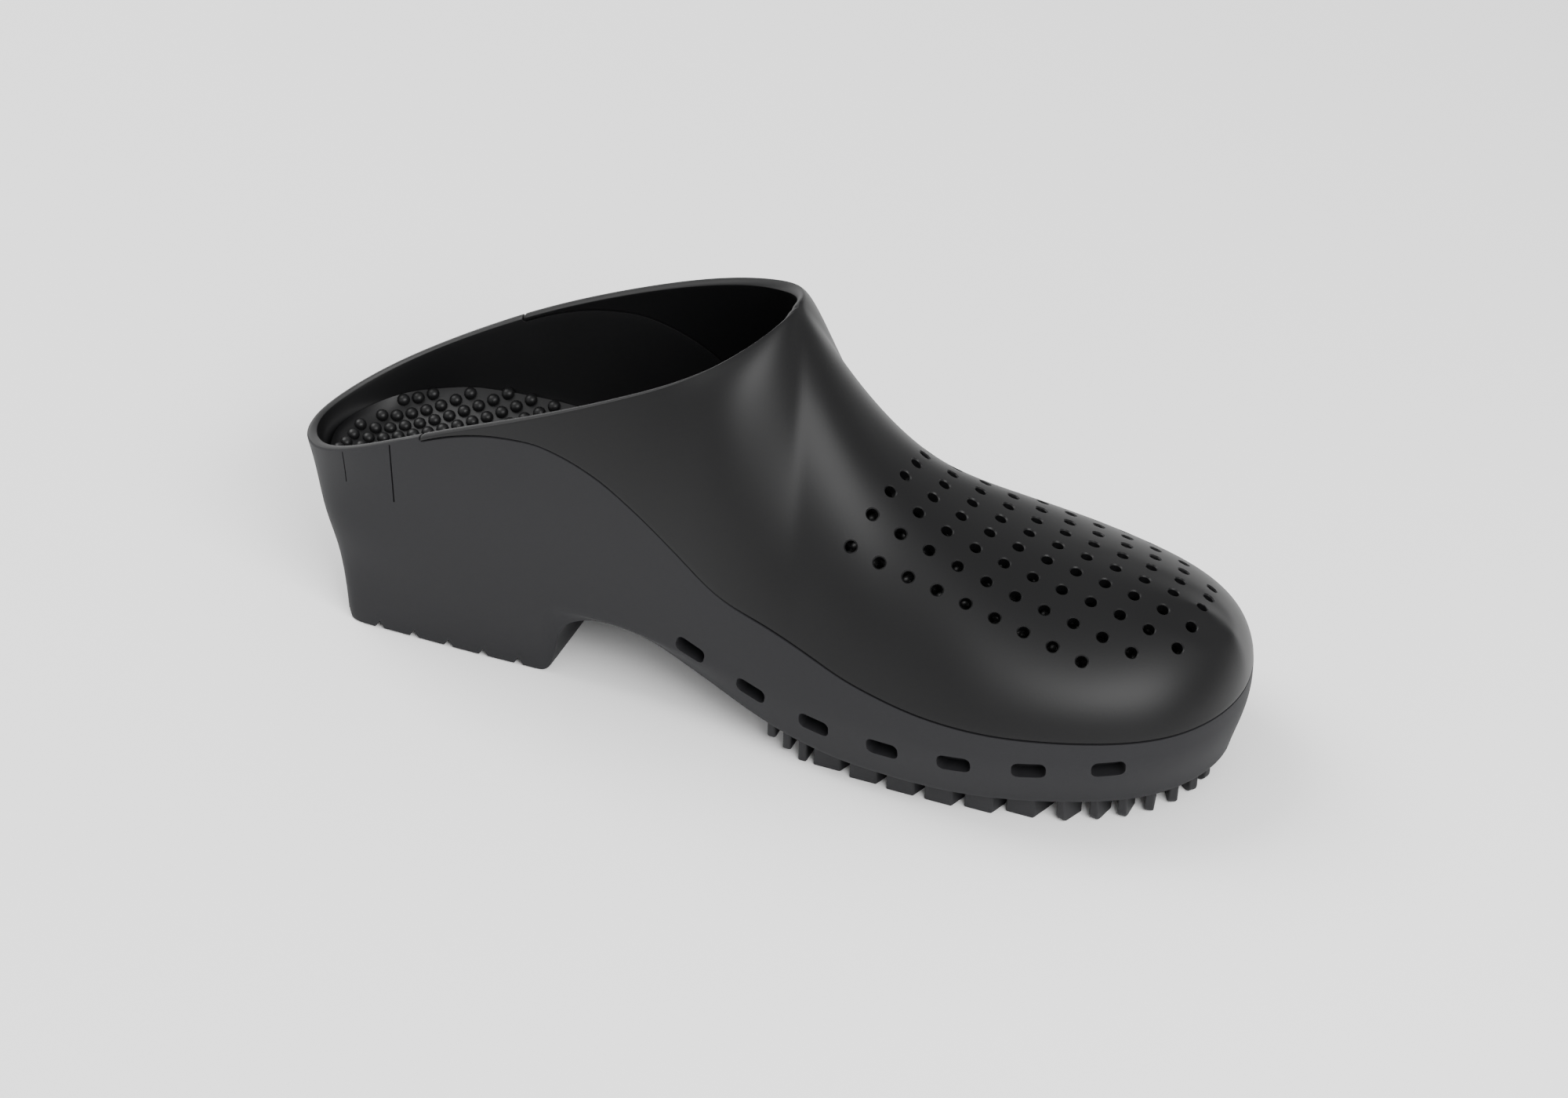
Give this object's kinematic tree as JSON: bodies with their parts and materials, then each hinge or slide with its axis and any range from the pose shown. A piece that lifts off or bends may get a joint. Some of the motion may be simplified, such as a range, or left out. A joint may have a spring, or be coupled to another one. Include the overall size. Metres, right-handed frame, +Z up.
{
  "type": "clog shoe",
  "caption": "Backless clog for a left foot, moulded in black rubber, with a raised block heel, a lugged forefoot, vent slots along the sole and air holes over the toes.",
  "frame": {"origin": "middle of the base, on the floor plane", "axes": "+X towards the toe, +Y towards the outer side of the left foot, +Z up"},
  "size_m": [0.277, 0.0992, 0.1165],
  "materials": {
    "sole": "matt moulded rubber",
    "upper": "satin moulded rubber",
    "insole": "matt moulded rubber with massage nubs"
  },
  "bodies": {
    "root": {"sole": "sole", "upper": "upper", "insole": "insole"}
  },
  "joints": []
}
